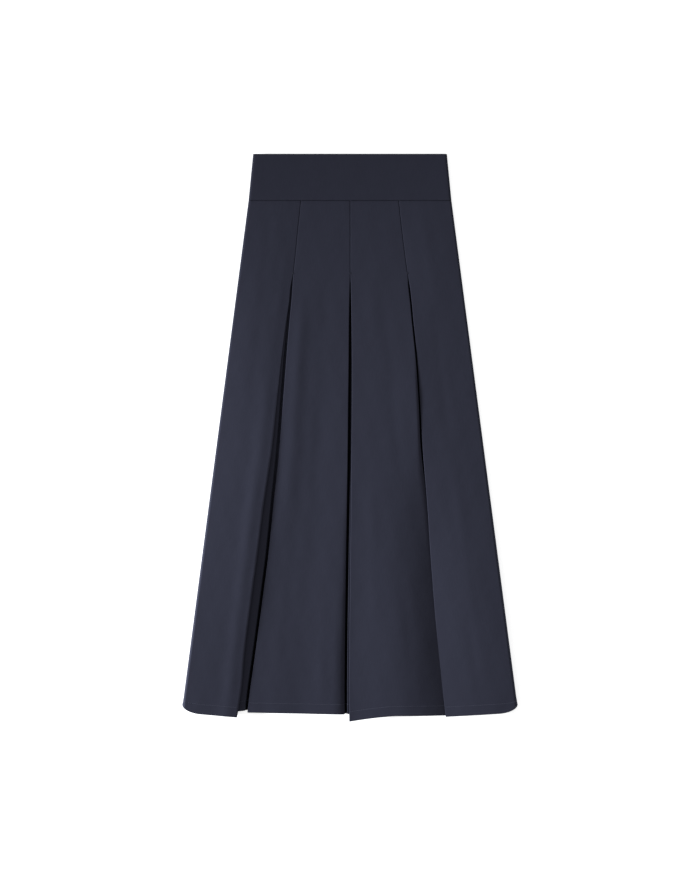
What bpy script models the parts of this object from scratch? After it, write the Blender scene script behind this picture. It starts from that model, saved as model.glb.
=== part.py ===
"""A pleated midi skirt, laid flat on its back.

The skirt lies on the XY plane with its waist towards +Y and its front up.  Right and left are the
wearer's: the right side is at -X.  Sizes are in metres, and the tables are in millimetres.  Places
along the skirt are told by their drop, the distance down from the top edge of the waistband.
"""

import math

import bpy
import numpy as np

MM = 0.001

# Driving sizes
TOTAL_LENGTH = 905.6 * MM  # top edge to the lowest hem corner
WAISTBAND_DEPTH = 74 * MM
WAIST_HALF_WIDTH = 154.8 * MM  # half the laid-flat waist, at the top edge
SEAM_HALF_WIDTH = 162.1 * MM  # half the width at the seam under the waistband
SIDE_SLOPE = 0.1306  # how fast each side runs out below that seam
RELEASE_DROP = 195 * MM  # the pleats are stitched shut down to here
HEM_DROP = 895 * MM

CLOTH = 1.2 * MM
WAISTBAND_CLOTH = 2.0 * MM  # the band is doubled and stiffened
SEAM_GAP = 0.3 * MM
LAYER_GAP = 0.4 * MM

# Heights of the layers' middles above the surface, from the back panel up
BACK_LEVEL = CLOTH / 2
UNDERLAY_LEVEL = BACK_LEVEL + CLOTH + LAYER_GAP
RETURN_LEVEL = UNDERLAY_LEVEL + CLOTH + LAYER_GAP
FOLD_RADIUS = 0.9 * MM  # of a pressed fold, at the middle of the cloth
OPEN_FOLD_RADIUS = 1.3 * MM  # where the edge stands up off its return
FACE_LEVEL = RETURN_LEVEL + 2 * FOLD_RADIUS
BAND_BACK_LEVEL = WAISTBAND_CLOTH / 2
BAND_FRONT_LEVEL = 5.4 * MM
SIDE_ROLL = 4 * MM  # how far in from the side the cloth starts to roll over
SIDE_UPRIGHT = 0.4 * MM  # the end of each roll stands upright at the side seam

# How far the cloth turns in behind each pleat edge, at the waist seam and at the hem
RETURN_WIDTH = (22 * MM, 48 * MM)

# Segments across each stretch of a section
RETURN_STEPS = 3
FOLD_STEPS = 4
FACE_STEPS = 14
ROLL_STEPS = 4
FLAT_STEPS = 8
UNDERLAY_STEPS = 4

# The six pleat edges, one row for each section: where they lie across the skirt
EDGES = ("right_outer", "right_inner", "centre_right", "centre_left", "left_inner", "left_outer")
EDGE_TABLE = np.array((
    # drop, then each edge's place across
    (73, -78.2, -78.2, 0.3, 0.3, 77.5, 77.5),
    (120, -83.2, -83.2, 0.4, 0.4, 82.7, 82.7),
    (160, -87, -87, 0.4, 0.4, 87.6, 87.6),
    (195, -91, -91, 0.4, 0.4, 92.4, 92.4),
    (210, -94.2, -91.9, -0.2, 1.1, 93.2, 95.2),
    (235, -96.6, -93.6, -0.8, 1.7, 96.0, 98.3),
    (265, -101, -96.5, -1.3, 2.2, 98.8, 101),
    (330, -109.2, -102, -1.8, 2.8, 105.2, 107.4),
    (395, -116, -107, -2.6, 2.7, 109.5, 111.6),
    (475, -124.4, -113.5, -3.3, 2.0, 113.6, 116.2),
    (555, -136.4, -122, -4.5, 1.4, 124, 122.8),
    (635, -146.6, -130.0, -5.8, 0.4, 134, 128),
    (715, -157.3, -140.4, -7.0, -0.5, 143.5, 134),
    (795, -167.5, -151, -8.0, -1.3, 151.5, 141),
    (860, -173.3, -160.2, -8.4, -1.9, 158, 148),
    (910, -181.8, -166, -8.2, -1.2, 162.5, 154),
)) * MM

# The same edges with the two sides, and how far the face stands up above its level at each
BOUNDS = ("right_side",) + EDGES + ("left_side",)
LIFT_TABLE = np.array((
    # drop, then the lift at each bound
    (195, 0, 0, 0, 0, 0, 0, 0, 0),
    (265, 0, 1.2, 1.2, 1.0, 0.9, 1.5, 1.2, 0),
    (330, 0.5, 2.8, 2.0, 2.2, 2.0, 2.8, 1.8, 0.2),
    (395, 1.0, 4.2, 2.4, 2.8, 2.6, 3.0, 2.0, 0.4),
    (475, 1.4, 5.2, 2.0, 2.6, 3.2, 2.0, 2.8, 0.8),
    (555, 2.8, 5.8, 1.4, 1.4, 5.0, 0, 5.0, 1.8),
    (635, 3.8, 6.0, 1.2, 0.4, 6.8, 0, 6.2, 3.4),
    (715, 5.0, 6.2, 1.2, 0, 7.6, 0, 6.4, 4.6),
    (795, 5.8, 6.0, 1.6, 0, 8.0, 0, 6.4, 4.8),
    (910, 6.0, 5.8, 1.8, 0, 8.0, 0, 6.4, 4.0),
)) * MM

# The four front panels and what bounds each one at its right and at its left
FRONT_PANELS = {
    "front_panel_right_side": ("right_side", "right_outer"),
    "front_panel_right_centre": ("right_inner", "centre_right"),
    "front_panel_left_centre": ("centre_left", "left_inner"),
    "front_panel_left_side": ("left_outer", "left_side"),
}

# How each panel's face swells once its pleats are open: the height of one arch from bound to bound
ARCH_TABLE = np.array((
    # drop, then each panel's arch in the order above
    (73, 0.3, 0, 0, 0.3),
    (195, 1.0, 0.2, 0.2, 0.8),
    (265, 1.4, 0, 0, 0.3),
    (330, 1.5, 0, 0, 0.1),
    (395, 1.3, 0, 0, 0.2),
    (475, 0.9, 0, 0.5, 0.6),
    (555, 0.6, 0, 2.4, 0.9),
    (635, 0.5, 0, 4.1, 1.6),
    (715, 0.3, 0, 5.6, 2.2),
    (795, 0.3, 0, 6.4, 2.0),
    (910, 0.2, 0, 6.0, 2.0),
)) * MM
ARCH_LEANS = {"front_panel_left_centre": 1.3}  # above 1, an arch is highest past the panel's middle

# The largest soft folds along the panels, in shares of the width from the panel's right bound
SOFT_FOLDS = (
    # panel, place, reach, lift in mm, and the drops where it starts and where it is full
    ("front_panel_right_side", 0.80, 0.13, 0.8, 300, 430),
    ("front_panel_right_centre", 0.15, 0.10, 0.8, 200, 300),
    ("front_panel_right_centre", 0.15, 0.10, -0.8, 470, 640),
    ("front_panel_right_centre", 0.55, 0.20, -0.6, 300, 430),
    ("front_panel_right_centre", 0.00, 0.12, 0.8, 500, 760),
    ("front_panel_right_centre", 0.28, 0.16, 0.7, 680, 860),
)

# Where a face rolls down towards its left edge
EDGE_ROLLS = (
    # panel, reach in shares of the width, depth in mm, and the drops where it starts and is full
    ("front_panel_right_centre", 0.12, 2.4, 590, 880),
    ("front_panel_left_centre", 0.08, 0.9, 420, 520),
)

# The three pleats and the panel edges that meet over each one
PLEAT_EDGES = {
    "right": ("right_outer", "right_inner"),
    "centre": ("centre_right", "centre_left"),
    "left": ("left_inner", "left_outer"),
}

# Hem lines: the drop at a panel's right and left bounds.  At a side it is where the rounded
# corner would otherwise come to a point.
FRONT_HEMS = {
    "front_panel_right_side": (891.5, 899.2),
    "front_panel_right_centre": (891.9, 895.2),
    "front_panel_left_centre": (905.6, 896.5),
    "front_panel_left_side": (898.7, 891.5),
}
UNDERLAY_HEMS = {"right": (892, 886.5), "centre": (893.5, 895), "left": (891, 891)}
SWUNG_HEM_REACH = 75 * MM  # the left centre panel hangs low over this much of its hem
SWUNG_HEM_POWER = 1.4
CORNER_REACH = 30 * MM  # of the rounded hem corner, along the hem
FRONT_CORNER_RISE = 12.5 * MM
BACK_CORNER_RISE = 9 * MM
BACK_HEM_DROP = 886 * MM
RETURN_HEM_RISE = 0.05  # a return's hem is cut shorter by this share of its width

NAVY = (0.031, 0.033, 0.050, 1.0)
NAVY_SHADE = (0.026, 0.028, 0.043, 1.0)


def edge_across(edge, drop):
    """Where a pleat edge lies across the skirt at this drop."""
    return float(np.interp(drop, EDGE_TABLE[:, 0], EDGE_TABLE[:, EDGES.index(edge) + 1]))


def half_width(drop):
    """Half the width of the body of the skirt at this drop."""
    return SEAM_HALF_WIDTH + SIDE_SLOPE * (drop - WAISTBAND_DEPTH)


def bound_level(bound, drop):
    """The height of the face at a pleat edge or at a side."""
    lift = np.interp(drop, LIFT_TABLE[:, 0], LIFT_TABLE[:, BOUNDS.index(bound) + 1])
    return FACE_LEVEL + float(lift)


def blend(start, end, share):
    return start + (end - start) * share


def smooth(share):
    """An S-curve from 0 to 1, level beyond them."""
    share = min(max(share, 0.0), 1.0)
    return share * share * (3 - 2 * share)


def return_width(drop):
    """How far the cloth turns in behind a pleat edge at this drop."""
    share = (drop - WAISTBAND_DEPTH) / (HEM_DROP - WAISTBAND_DEPTH)
    return blend(RETURN_WIDTH[0], RETURN_WIDTH[1], share)


def pleat_edge(edge, drop, inward):
    """The turned-in cloth and fold at one edge of a panel, from the return's raw end to the fold's top.

    inward is +1 where the panel lies to the +X side of the edge, and -1 where it lies to the -X side.
    """
    top = bound_level(edge, drop)
    radius = min(OPEN_FOLD_RADIUS, (top - RETURN_LEVEL) / 2)
    across = edge_across(edge, drop) + inward * (CLOTH / 2 + SEAM_GAP / 2 + radius)
    width = return_width(drop)
    points = []
    for step in range(RETURN_STEPS):
        share = 1 - step / RETURN_STEPS
        height = blend(top - 2 * radius, RETURN_LEVEL, smooth(share))
        points.append((across + inward * width * share, height))
    for step in range(FOLD_STEPS + 1):
        angle = math.pi * (step / FOLD_STEPS - 0.5)
        height = top - radius + radius * math.sin(angle)
        points.append((across - inward * radius * math.cos(angle), height))
    return points


def side_roll(half, cloth, level, apex, side):
    """The quarter roll from a flat layer out to the side seam, where side is -1 at the right."""
    middle = half - cloth / 2 - SIDE_ROLL
    end = apex + math.copysign(SIDE_UPRIGHT, level - apex)
    points = []
    for step in range(ROLL_STEPS + 1):
        angle = math.pi / 2 * step / ROLL_STEPS
        across = middle + SIDE_ROLL * math.sin(angle)
        points.append((side * across, end + (level - end) * math.cos(angle)))
    points.append((points[-1][0], apex))
    return points


def swell(panel, share, drop):
    """How far the panel's arch, soft folds and edge rolls lift its face here."""
    column = list(FRONT_PANELS).index(panel) + 1
    arch = float(np.interp(drop, ARCH_TABLE[:, 0], ARCH_TABLE[:, column]))
    height = arch * math.sin(math.pi * share ** ARCH_LEANS.get(panel, 1.0))
    for name, place, reach, lift, start, full in SOFT_FOLDS:
        if name == panel:
            grown = smooth((drop - start * MM) / ((full - start) * MM))
            height += lift * MM * grown * math.exp(-(((share - place) / reach) ** 2))
    for name, reach, depth, start, full in EDGE_ROLLS:
        if name == panel:
            grown = smooth((drop - start * MM) / ((full - start) * MM))
            height -= depth * MM * grown * max(1 - (1 - share) / reach, 0.0) ** 2
    return height


def face(panel, start, end, drop):
    """The points strictly between two ends of a panel's face."""
    ends = (swell(panel, 0, drop), swell(panel, 1, drop))
    points = []
    for step in range(1, FACE_STEPS):
        share = step / FACE_STEPS
        rise = swell(panel, share, drop) - blend(*ends, share)
        points.append((blend(start[0], end[0], share), blend(start[1], end[1], share) + rise))
    return points


def front_section(panel, drop):
    """One section of a front panel, from its -X end to its +X end."""
    right, left = FRONT_PANELS[panel]
    apex = (BACK_LEVEL + FACE_LEVEL) / 2 + SEAM_GAP / 2
    half = half_width(drop)
    if right == "right_side":
        start = side_roll(half, CLOTH, bound_level(right, drop), apex, -1)[::-1]
    else:
        start = pleat_edge(right, drop, +1)
    if left == "left_side":
        end = side_roll(half, CLOTH, bound_level(left, drop), apex, +1)
    else:
        end = pleat_edge(left, drop, -1)[::-1]
    return start + face(panel, start[-1], end[0], drop) + end


def underlay_section(pleat, drop):
    """One section of the flat cloth behind a pleat."""
    edges = PLEAT_EDGES[pleat]
    inset = CLOTH / 2 + SEAM_GAP / 2 + FOLD_RADIUS
    start = edge_across(edges[0], drop) - inset - return_width(drop)
    end = edge_across(edges[1], drop) + inset + return_width(drop)
    shares = [step / UNDERLAY_STEPS for step in range(UNDERLAY_STEPS + 1)]
    return [(blend(start, end, share), UNDERLAY_LEVEL) for share in shares]


def flat_section(half, cloth, level, apex):
    """A flat layer from one side seam to the other, rolled at both sides to its apex height."""
    right = side_roll(half, cloth, level, apex, -1)[::-1]
    left = side_roll(half, cloth, level, apex, +1)
    ends = (right[-1][0], left[0][0])
    flat = [(blend(*ends, step / FLAT_STEPS), level) for step in range(1, FLAT_STEPS)]
    return right + flat + left


def back_section(drop):
    """One section of the back panel."""
    apex = (BACK_LEVEL + FACE_LEVEL) / 2 - SEAM_GAP / 2
    return flat_section(half_width(drop), CLOTH, BACK_LEVEL, apex)


def band_section(layer, drop):
    """One section of the waistband's front or back."""
    half = blend(WAIST_HALF_WIDTH, SEAM_HALF_WIDTH, drop / WAISTBAND_DEPTH)
    middle = (BAND_BACK_LEVEL + BAND_FRONT_LEVEL) / 2
    if layer == "front":
        return flat_section(half, WAISTBAND_CLOTH, BAND_FRONT_LEVEL, middle + SEAM_GAP / 2)
    return flat_section(half, WAISTBAND_CLOTH, BAND_BACK_LEVEL, middle - SEAM_GAP / 2)


def corner_rise(across, rise):
    """How far the rounded hem corner has risen at this place, near either side."""
    distance = half_width(HEM_DROP) - CLOTH / 2 - abs(across)
    share = 1 - min(max(distance / CORNER_REACH, 0.0), 1.0)
    return rise * (1 - math.sqrt(1 - share * share))


def front_hem(panel, section):
    """The drop of the hem at each point of a front panel's section."""
    right, left = FRONT_PANELS[panel]
    bounds = [edge_across(name, HEM_DROP) if name in EDGES else half_width(HEM_DROP) * sign
              for name, sign in ((right, -1), (left, +1))]
    drops = []
    for number, (across, _) in enumerate(section):
        share = (across - bounds[0]) / (bounds[1] - bounds[0])
        if panel == "front_panel_left_centre":
            reach = min(max((across - bounds[0]) / SWUNG_HEM_REACH, 0.0), 1.0)
            share = 1 - (1 - reach) ** SWUNG_HEM_POWER
        drop = blend(*FRONT_HEMS[panel], min(max(share, 0.0), 1.0)) * MM
        if right not in EDGES or left not in EDGES:
            drop -= corner_rise(across, FRONT_CORNER_RISE)
        if right in EDGES and number < RETURN_STEPS:
            drop -= RETURN_HEM_RISE * abs(across - bounds[0])
        if left in EDGES and number >= len(section) - RETURN_STEPS:
            drop -= RETURN_HEM_RISE * abs(across - bounds[1])
        drops.append(drop)
    return drops


def underlay_hem(pleat, section):
    """The drop of the hem at each point of an underlay's section."""
    return [blend(*UNDERLAY_HEMS[pleat], step / UNDERLAY_STEPS) * MM for step in range(len(section))]


def back_hem(section):
    """The drop of the hem at each point of the back panel's section."""
    return [BACK_HEM_DROP - corner_rise(across, BACK_CORNER_RISE) for across, _ in section]


def wall(collection, name, section, drops, hem=None, cloth=CLOTH, colour=NAVY):
    """A wall of cloth lofted through its sections: rows of points down the skirt, then thickened.

    section(drop) gives (across, height) points, and hem(section) the drop of each point of the
    last row.  Without a hem the last row is straight.
    """
    rows = [[(x, TOTAL_LENGTH / 2 - drop, z) for x, z in section(drop)] for drop in drops]
    if hem:
        last = []
        for number, drop in enumerate(hem(section(HEM_DROP))):
            across, height = section(drop)[number]
            last.append((across, TOTAL_LENGTH / 2 - drop, height))
        rows.append(last)
    width = len(rows[0])
    points = [point for row in rows for point in row]
    quads = []
    for row in range(len(rows) - 1):
        for column in range(width - 1):
            corner = row * width + column
            quads.append((corner, corner + width, corner + width + 1, corner + 1))
    mesh = bpy.data.meshes.new(name)
    mesh.from_pydata(points, [], quads)
    mesh.update()
    mesh.shade_smooth()
    mesh.set_sharp_from_angle(angle=math.radians(50))
    mesh.materials.append(cloth_material(name + "_cloth", colour))
    piece = bpy.data.objects.new(name, mesh)
    collection.objects.link(piece)
    thick = piece.modifiers.new("cloth thickness", "SOLIDIFY")
    thick.thickness = cloth
    thick.offset = 0.0
    thick.use_even_offset = True
    thick.use_rim = True
    return piece


def cloth_material(name, colour):
    material = bpy.data.materials.new(name)
    material.use_nodes = True
    shader = material.node_tree.nodes["Principled BSDF"]
    shader.inputs["Base Color"].default_value = colour
    shader.inputs["Roughness"].default_value = 0.85
    shader.inputs["Metallic"].default_value = 0.0
    return material


def body_drops():
    """The drops of a body panel's rows: just under the waist seam, then the table's rows to the hem."""
    return [WAISTBAND_DEPTH + SEAM_GAP / 2] + EDGE_TABLE[1:-1, 0].tolist()


def build_waistband(collection):
    drops = [0.0, WAISTBAND_DEPTH / 2, WAISTBAND_DEPTH - SEAM_GAP / 2]
    for layer in ("front", "back"):
        wall(collection, "waistband_" + layer, lambda drop, part=layer: band_section(part, drop), drops,
             cloth=WAISTBAND_CLOTH)


def build_front(collection):
    for panel in FRONT_PANELS:
        wall(collection, panel, lambda drop, part=panel: front_section(part, drop), body_drops(),
             hem=lambda section, part=panel: front_hem(part, section))


def build_underlays(collection):
    for pleat in PLEAT_EDGES:
        wall(collection, "pleat_underlay_" + pleat,
             lambda drop, part=pleat: underlay_section(part, drop), body_drops(),
             hem=lambda section, part=pleat: underlay_hem(part, section), colour=NAVY_SHADE)


def build_back(collection):
    wall(collection, "back_panel", back_section, body_drops(), hem=back_hem)


def main():
    for old in list(bpy.data.objects):
        bpy.data.objects.remove(old)
    collection = bpy.data.collections.new("pleated_midi_skirt")
    bpy.context.scene.collection.children.link(collection)
    build_waistband(collection)
    build_front(collection)
    build_underlays(collection)
    build_back(collection)


main()
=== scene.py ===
# %% [markdown]
# # A pleated midi skirt, laid flat
# The skirt lies on its back on a pale floor, front up, waist towards +Y. It is a tube of dark navy
# suiting: a firm waistband, four front panels that meet over three inverted pleats, the cloth behind
# each pleat, and one plain back. Each of them is one sheet of cloth, made as rows of points across
# the skirt, one row for each place down its length. A cloth simulation was not used, since the pressed
# pleats keep exact lines that a solver would blur. Thread is added last, as small tubes.

import math

import bpy
import numpy as np
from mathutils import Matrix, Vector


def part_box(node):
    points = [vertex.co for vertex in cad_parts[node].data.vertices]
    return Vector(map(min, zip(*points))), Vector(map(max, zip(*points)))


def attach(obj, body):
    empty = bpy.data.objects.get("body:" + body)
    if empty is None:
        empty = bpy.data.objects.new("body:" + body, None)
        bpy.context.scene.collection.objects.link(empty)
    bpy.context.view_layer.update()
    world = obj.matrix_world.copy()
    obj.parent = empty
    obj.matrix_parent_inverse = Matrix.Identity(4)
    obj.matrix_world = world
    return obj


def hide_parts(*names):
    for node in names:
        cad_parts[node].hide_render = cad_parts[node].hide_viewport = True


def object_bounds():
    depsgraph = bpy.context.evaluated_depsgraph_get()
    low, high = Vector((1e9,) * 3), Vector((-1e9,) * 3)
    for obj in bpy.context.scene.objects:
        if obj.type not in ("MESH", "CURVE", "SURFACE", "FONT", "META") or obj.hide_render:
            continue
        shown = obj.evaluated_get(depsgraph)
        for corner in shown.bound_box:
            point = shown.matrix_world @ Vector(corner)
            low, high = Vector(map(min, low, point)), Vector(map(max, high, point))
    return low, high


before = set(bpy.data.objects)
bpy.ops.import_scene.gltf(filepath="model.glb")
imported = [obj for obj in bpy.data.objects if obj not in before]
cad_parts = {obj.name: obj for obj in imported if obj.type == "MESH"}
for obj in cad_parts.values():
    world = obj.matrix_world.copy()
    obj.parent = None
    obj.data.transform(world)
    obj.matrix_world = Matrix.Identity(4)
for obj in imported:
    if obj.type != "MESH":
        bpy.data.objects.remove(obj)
cad_box = [list(corner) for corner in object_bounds()]
MM = 0.001
print("the frame holds", len(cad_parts), "solids; box", cad_box)

# %% [markdown]
# ## Where things lie
# Places down the skirt are told as a drop, the distance from the top edge of the waistband. That edge
# and the waistband's depth are read from the frame's own solid. The other sizes are the ones that the
# solids were drawn with, so that each sheet of cloth follows the solid that it stands for.

# %% Driving sizes
SEAM_GAP = 0.3 * MM  # between two pieces that are sewn edge to edge
band_low, band_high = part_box("waistband_front")
TOP_Y = band_high.y
BAND_DEPTH = band_high.y - band_low.y + SEAM_GAP / 2  # down to the middle of the waist seam
WAIST_HALF = 154.8 * MM  # half the width at the top edge
SEAM_HALF = 162.1 * MM  # and at the waist seam
SIDE_SLOPE = 0.1306  # how fast each side runs out below the waist seam
RELEASE_DROP = 195 * MM  # the pleats are stitched shut down to here
HEM_DROP = 895 * MM  # the rows' own level for the hem; each panel's true line comes later
print("waistband", round(BAND_DEPTH / MM, 1), "mm deep; top edge at y", round(TOP_Y, 4))

# %% [markdown]
# ## The layers
# Laid flat, a skirt is a stack: the back at the bottom, then the cloth behind the pleats, then the
# parts of the front panels that turn in, and the front faces on top. Each level is how high the
# middle of the cloth lies above the floor.

# %% Levels of the layers
CLOTH = 0.6 * MM  # a mid-weight suiting
BACK_LEVEL = 0.36 * MM
UNDERLAY_LEVEL = 2.0 * MM
RETURN_LEVEL = 3.8 * MM
FACE_LEVEL = 5.6 * MM
BAND_FRONT_LEVEL = 5.7 * MM
BAND_BACK_LEVEL = 0.4 * MM
FOLD_RADIUS = 0.5 * MM  # of a pressed fold
SIDE_ROLL = 4 * MM  # the cloth rolls towards the side seam over this last stretch
SIDE_UPRIGHT = 0.4 * MM  # and then stands up to the seam
RETURN_WIDTH = (22 * MM, 48 * MM)  # how far the cloth turns in, at the waist seam and at the hem
print("from the back to the front faces:", round((FACE_LEVEL - BACK_LEVEL) / MM, 2), "mm")

# %% [markdown]
# ## The pleat edges
# Three inverted pleats give six pressed edges. They are stitched together in pairs down to the
# release, and then each edge swings its own way, so their lines are a short table. A straight line
# from row to row would show a corner at each row. A cubic curve through the rows, with slopes taken
# from the neighbouring rows, runs smoothly, as a pressed fold does.

# %% Tables of the edges
EDGES = ("right_outer", "right_inner", "centre_right", "centre_left", "left_inner", "left_outer")
EDGE_TABLE = np.array((
    # drop, then each edge's place across, in mm
    (73, -78.2, -78.2, 0.3, 0.3, 77.5, 77.5),
    (120, -83.2, -83.2, 0.4, 0.4, 82.7, 82.7),
    (160, -87, -87, 0.4, 0.4, 87.6, 87.6),
    (195, -91, -91, 0.4, 0.4, 92.4, 92.4),
    (210, -94.2, -91.9, -0.2, 1.1, 93.2, 95.2),
    (235, -96.6, -93.6, -0.8, 1.7, 96.0, 98.3),
    (265, -101, -96.5, -1.3, 2.2, 98.8, 101),
    (330, -109.2, -102, -1.8, 2.8, 105.2, 107.4),
    (395, -116, -107, -2.6, 2.7, 109.5, 111.6),
    (475, -124.4, -113.5, -3.3, 2.0, 113.6, 116.2),
    (555, -136.4, -122, -4.5, 1.4, 124, 122.8),
    (635, -146.6, -130.0, -5.8, 0.4, 134, 128),
    (715, -157.3, -140.4, -7.0, -0.5, 143.5, 134),
    (795, -167.5, -151, -8.0, -1.3, 151.5, 141),
    (860, -173.3, -160.2, -8.4, -1.9, 158, 148),
    (910, -181.8, -166, -8.2, -1.2, 162.5, 154),
)) * MM
BOUNDS = ("right_side",) + EDGES + ("left_side",)
LIFT_TABLE = np.array((
    # drop, then how far the face stands up above its flat level at each bound, in mm
    (195, 0, 0, 0, 0, 0, 0, 0, 0),
    (265, 0, 1.2, 1.2, 1.0, 0.9, 1.5, 1.2, 0),
    (330, 0.5, 2.8, 2.0, 2.2, 2.0, 2.8, 1.8, 0.2),
    (395, 1.0, 4.2, 2.4, 2.8, 2.6, 3.4, 2.0, 0.4),
    (475, 1.4, 5.2, 2.0, 2.6, 3.2, 2.2, 2.2, 0.8),
    (555, 2.8, 5.8, 1.4, 1.4, 5.0, 0, 2.8, 2.4),
    (635, 3.8, 6.0, 1.2, 0.4, 6.8, -0.8, 3.0, 4.5),
    (715, 5.0, 6.2, 1.2, 0, 7.6, -1.2, 3.0, 5.8),
    (795, 6.2, 6.0, 2.0, -0.2, 8.0, -1.2, 2.6, 5.8),
    (910, 6.6, 5.8, 2.4, -0.2, 8.0, -1.2, 2.6, 4.6),
)) * MM

print(len(EDGE_TABLE), "rows for the places of", len(EDGES), "edges, and", len(LIFT_TABLE), "for heights")

# %% Curves through the tables
def through_rows(places, values, at):
    """A smooth curve through a table's rows."""
    at = np.clip(at, places[0], places[-1])
    slopes = np.gradient(values, places)
    row = np.clip(np.searchsorted(places, at, side="right") - 1, 0, len(places) - 2)
    span = places[row + 1] - places[row]
    t = (at - places[row]) / span
    start = values[row] * (1 + 2 * t) + slopes[row] * span * t
    end = values[row + 1] * (3 - 2 * t) - slopes[row + 1] * span * (1 - t)
    return start * (1 - t) ** 2 + end * t ** 2


def edge_across(edge, drop):
    """Where a pleat edge lies: straight while it is stitched, and a smooth curve once it is free."""
    column = EDGES.index(edge) + 1
    free = EDGE_TABLE[EDGE_TABLE[:, 0] >= RELEASE_DROP]
    stitched = np.interp(drop, EDGE_TABLE[:, 0], EDGE_TABLE[:, column])
    return np.where(drop <= RELEASE_DROP, stitched, through_rows(free[:, 0], free[:, column], drop))


def bound_top(bound, drop):
    """The height of the face at a pleat edge or at a side."""
    return FACE_LEVEL + through_rows(LIFT_TABLE[:, 0], LIFT_TABLE[:, BOUNDS.index(bound) + 1], drop)


hem_opening = float(edge_across("right_inner", HEM_DROP) - edge_across("right_outer", HEM_DROP))
print("opening of the right pleat at the hem:", round(hem_opening / MM, 1), "mm")

# %% [markdown]
# ## How the panels swell
# Once its pleats are free, each panel lifts a little between its edges: a long arch from edge to
# edge, and soft folds that run down it. Beside some edges it rolls down towards the pleat. All of
# these are heights added to the face, so that one formula shapes a panel from waist to hem.

# %% Swelling and soft folds
PANELS = {
    "front_panel_right_side": ("right_side", "right_outer"),
    "front_panel_right_centre": ("right_inner", "centre_right"),
    "front_panel_left_centre": ("centre_left", "left_inner"),
    "front_panel_left_side": ("left_outer", "left_side"),
}
ARCH_TABLE = np.array((
    # drop, then the height of each panel's arch, in mm
    (73, 0.3, 0, 0, 0.3),
    (195, 1.0, 0.2, 0.2, 0.8),
    (265, 1.4, 0, 0, 0.3),
    (330, 1.5, 0, 0, 0.1),
    (395, 1.3, 0, 0, 0.2),
    (475, 0.9, 0, 0.5, 0.6),
    (555, 0.6, 0, 2.4, 0.9),
    (635, 0.5, 0, 4.1, 1.6),
    (715, 0.3, 0, 5.6, 2.2),
    (795, 0.3, 0, 6.4, 2.0),
    (910, 0.2, 0, 6.0, 2.0),
)) * MM
ARCH_LEANS = {"front_panel_left_centre": 1.3}  # above 1, an arch is highest past the panel's middle
SOFT_FOLDS = (
    # panel, place in shares of its width, reach, lift in mm, and the drops where it starts and is full
    ("front_panel_right_side", 0.80, 0.13, 0.8, 300, 430),
    ("front_panel_right_centre", 0.185, 0.11, 0.85, 200, 300),
    ("front_panel_right_centre", 0.55, 0.20, -0.6, 300, 430),
    ("front_panel_right_centre", 0.185, 0.11, -0.85, 470, 640),
    ("front_panel_right_centre", 0.00, 0.12, 0.8, 500, 760),
    ("front_panel_right_centre", 0.28, 0.16, 0.7, 680, 860),
)
EDGE_ROLLS = (
    # panel, reach back from its left edge in shares of its width, depth in mm, and the same two drops
    ("front_panel_right_side", 0.035, 0.4, 300, 500),
    ("front_panel_right_centre", 0.045, 0.5, 500, 640),
    ("front_panel_right_centre", 0.12, 2.4, 590, 880),
    ("front_panel_left_centre", 0.035, 0.8, 300, 400),
    ("front_panel_left_centre", 0.08, 0.9, 420, 520),
)

print(len(PANELS), "panels;", len(SOFT_FOLDS), "soft folds and", len(EDGE_ROLLS), "rolled edges")

# %% The lift of a panel's face
def smooth(share):
    """Eases from 0 to 1."""
    share = np.clip(share, 0, 1)
    return share * share * (3 - 2 * share)


def grown(drop, start, full):
    """0 above the drop where a fold starts and 1 below the one where it is full, both in mm."""
    return smooth((drop - start * MM) / ((full - start) * MM))


def swell(panel, share, drop):
    """How far the arch, the soft folds and the rolled edges lift a panel's face."""
    column = list(PANELS).index(panel) + 1
    arch = through_rows(ARCH_TABLE[:, 0], ARCH_TABLE[:, column], drop)
    height = arch * np.sin(math.pi * share ** ARCH_LEANS.get(panel, 1.0))
    for name, place, reach, lift, start, full in SOFT_FOLDS:
        if name == panel:
            hump = np.exp(-(((share - place) / reach) ** 2))
            height = height + lift * MM * grown(drop, start, full) * hump
    for name, reach, depth, start, full in EDGE_ROLLS:
        if name == panel:
            roll = np.maximum(1 - (1 - share) / reach, 0) ** 2
            height = height - depth * MM * grown(drop, start, full) * roll
    return height


middle_lifts = [round(float(swell(panel, 0.5, HEM_DROP)) / MM, 1) for panel in PANELS]
print("lift in the middle of each panel at the hem:", middle_lifts, "mm")

# %% [markdown]
# ## Small unevenness
# Pressed cloth is never quite flat. Each dent is a soft, long hollow or ridge at its own place, with
# its own length and lean. Under them lies a very faint, slow waviness: a few sine waves that don't
# repeat together. Its height is only some hundredths of a millimetre, since light that falls along
# a cloth shows even that.

# %% Dents and waviness
DENTS = (
    # across, drop, reach across, reach along, lean, lift, all but the lean in mm
    (-132, 150, 9, 60, -0.10, -0.22),
    (-112, 232, 7, 70, -0.14, 0.20),
    (-150, 330, 10, 120, -0.12, -0.25),
    (-160, 560, 9, 130, -0.12, 0.22),
    (-40, 260, 12, 90, -0.04, -0.22),
    (-62, 470, 9, 110, -0.06, 0.22),
    (-95, 700, 10, 120, -0.10, -0.25),
    (-46, 820, 8, 70, -0.02, 0.20),
    (38, 250, 11, 80, 0.03, 0.22),
    (70, 400, 10, 120, 0.08, -0.28),
    (36, 610, 10, 130, 0.02, 0.24),
    (92, 760, 9, 100, 0.08, -0.22),
    (128, 190, 9, 70, 0.12, 0.22),
    (146, 350, 8, 110, 0.12, -0.22),
    (178, 600, 9, 130, 0.12, 0.24),
    (196, 790, 8, 80, 0.12, -0.20),
)
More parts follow.
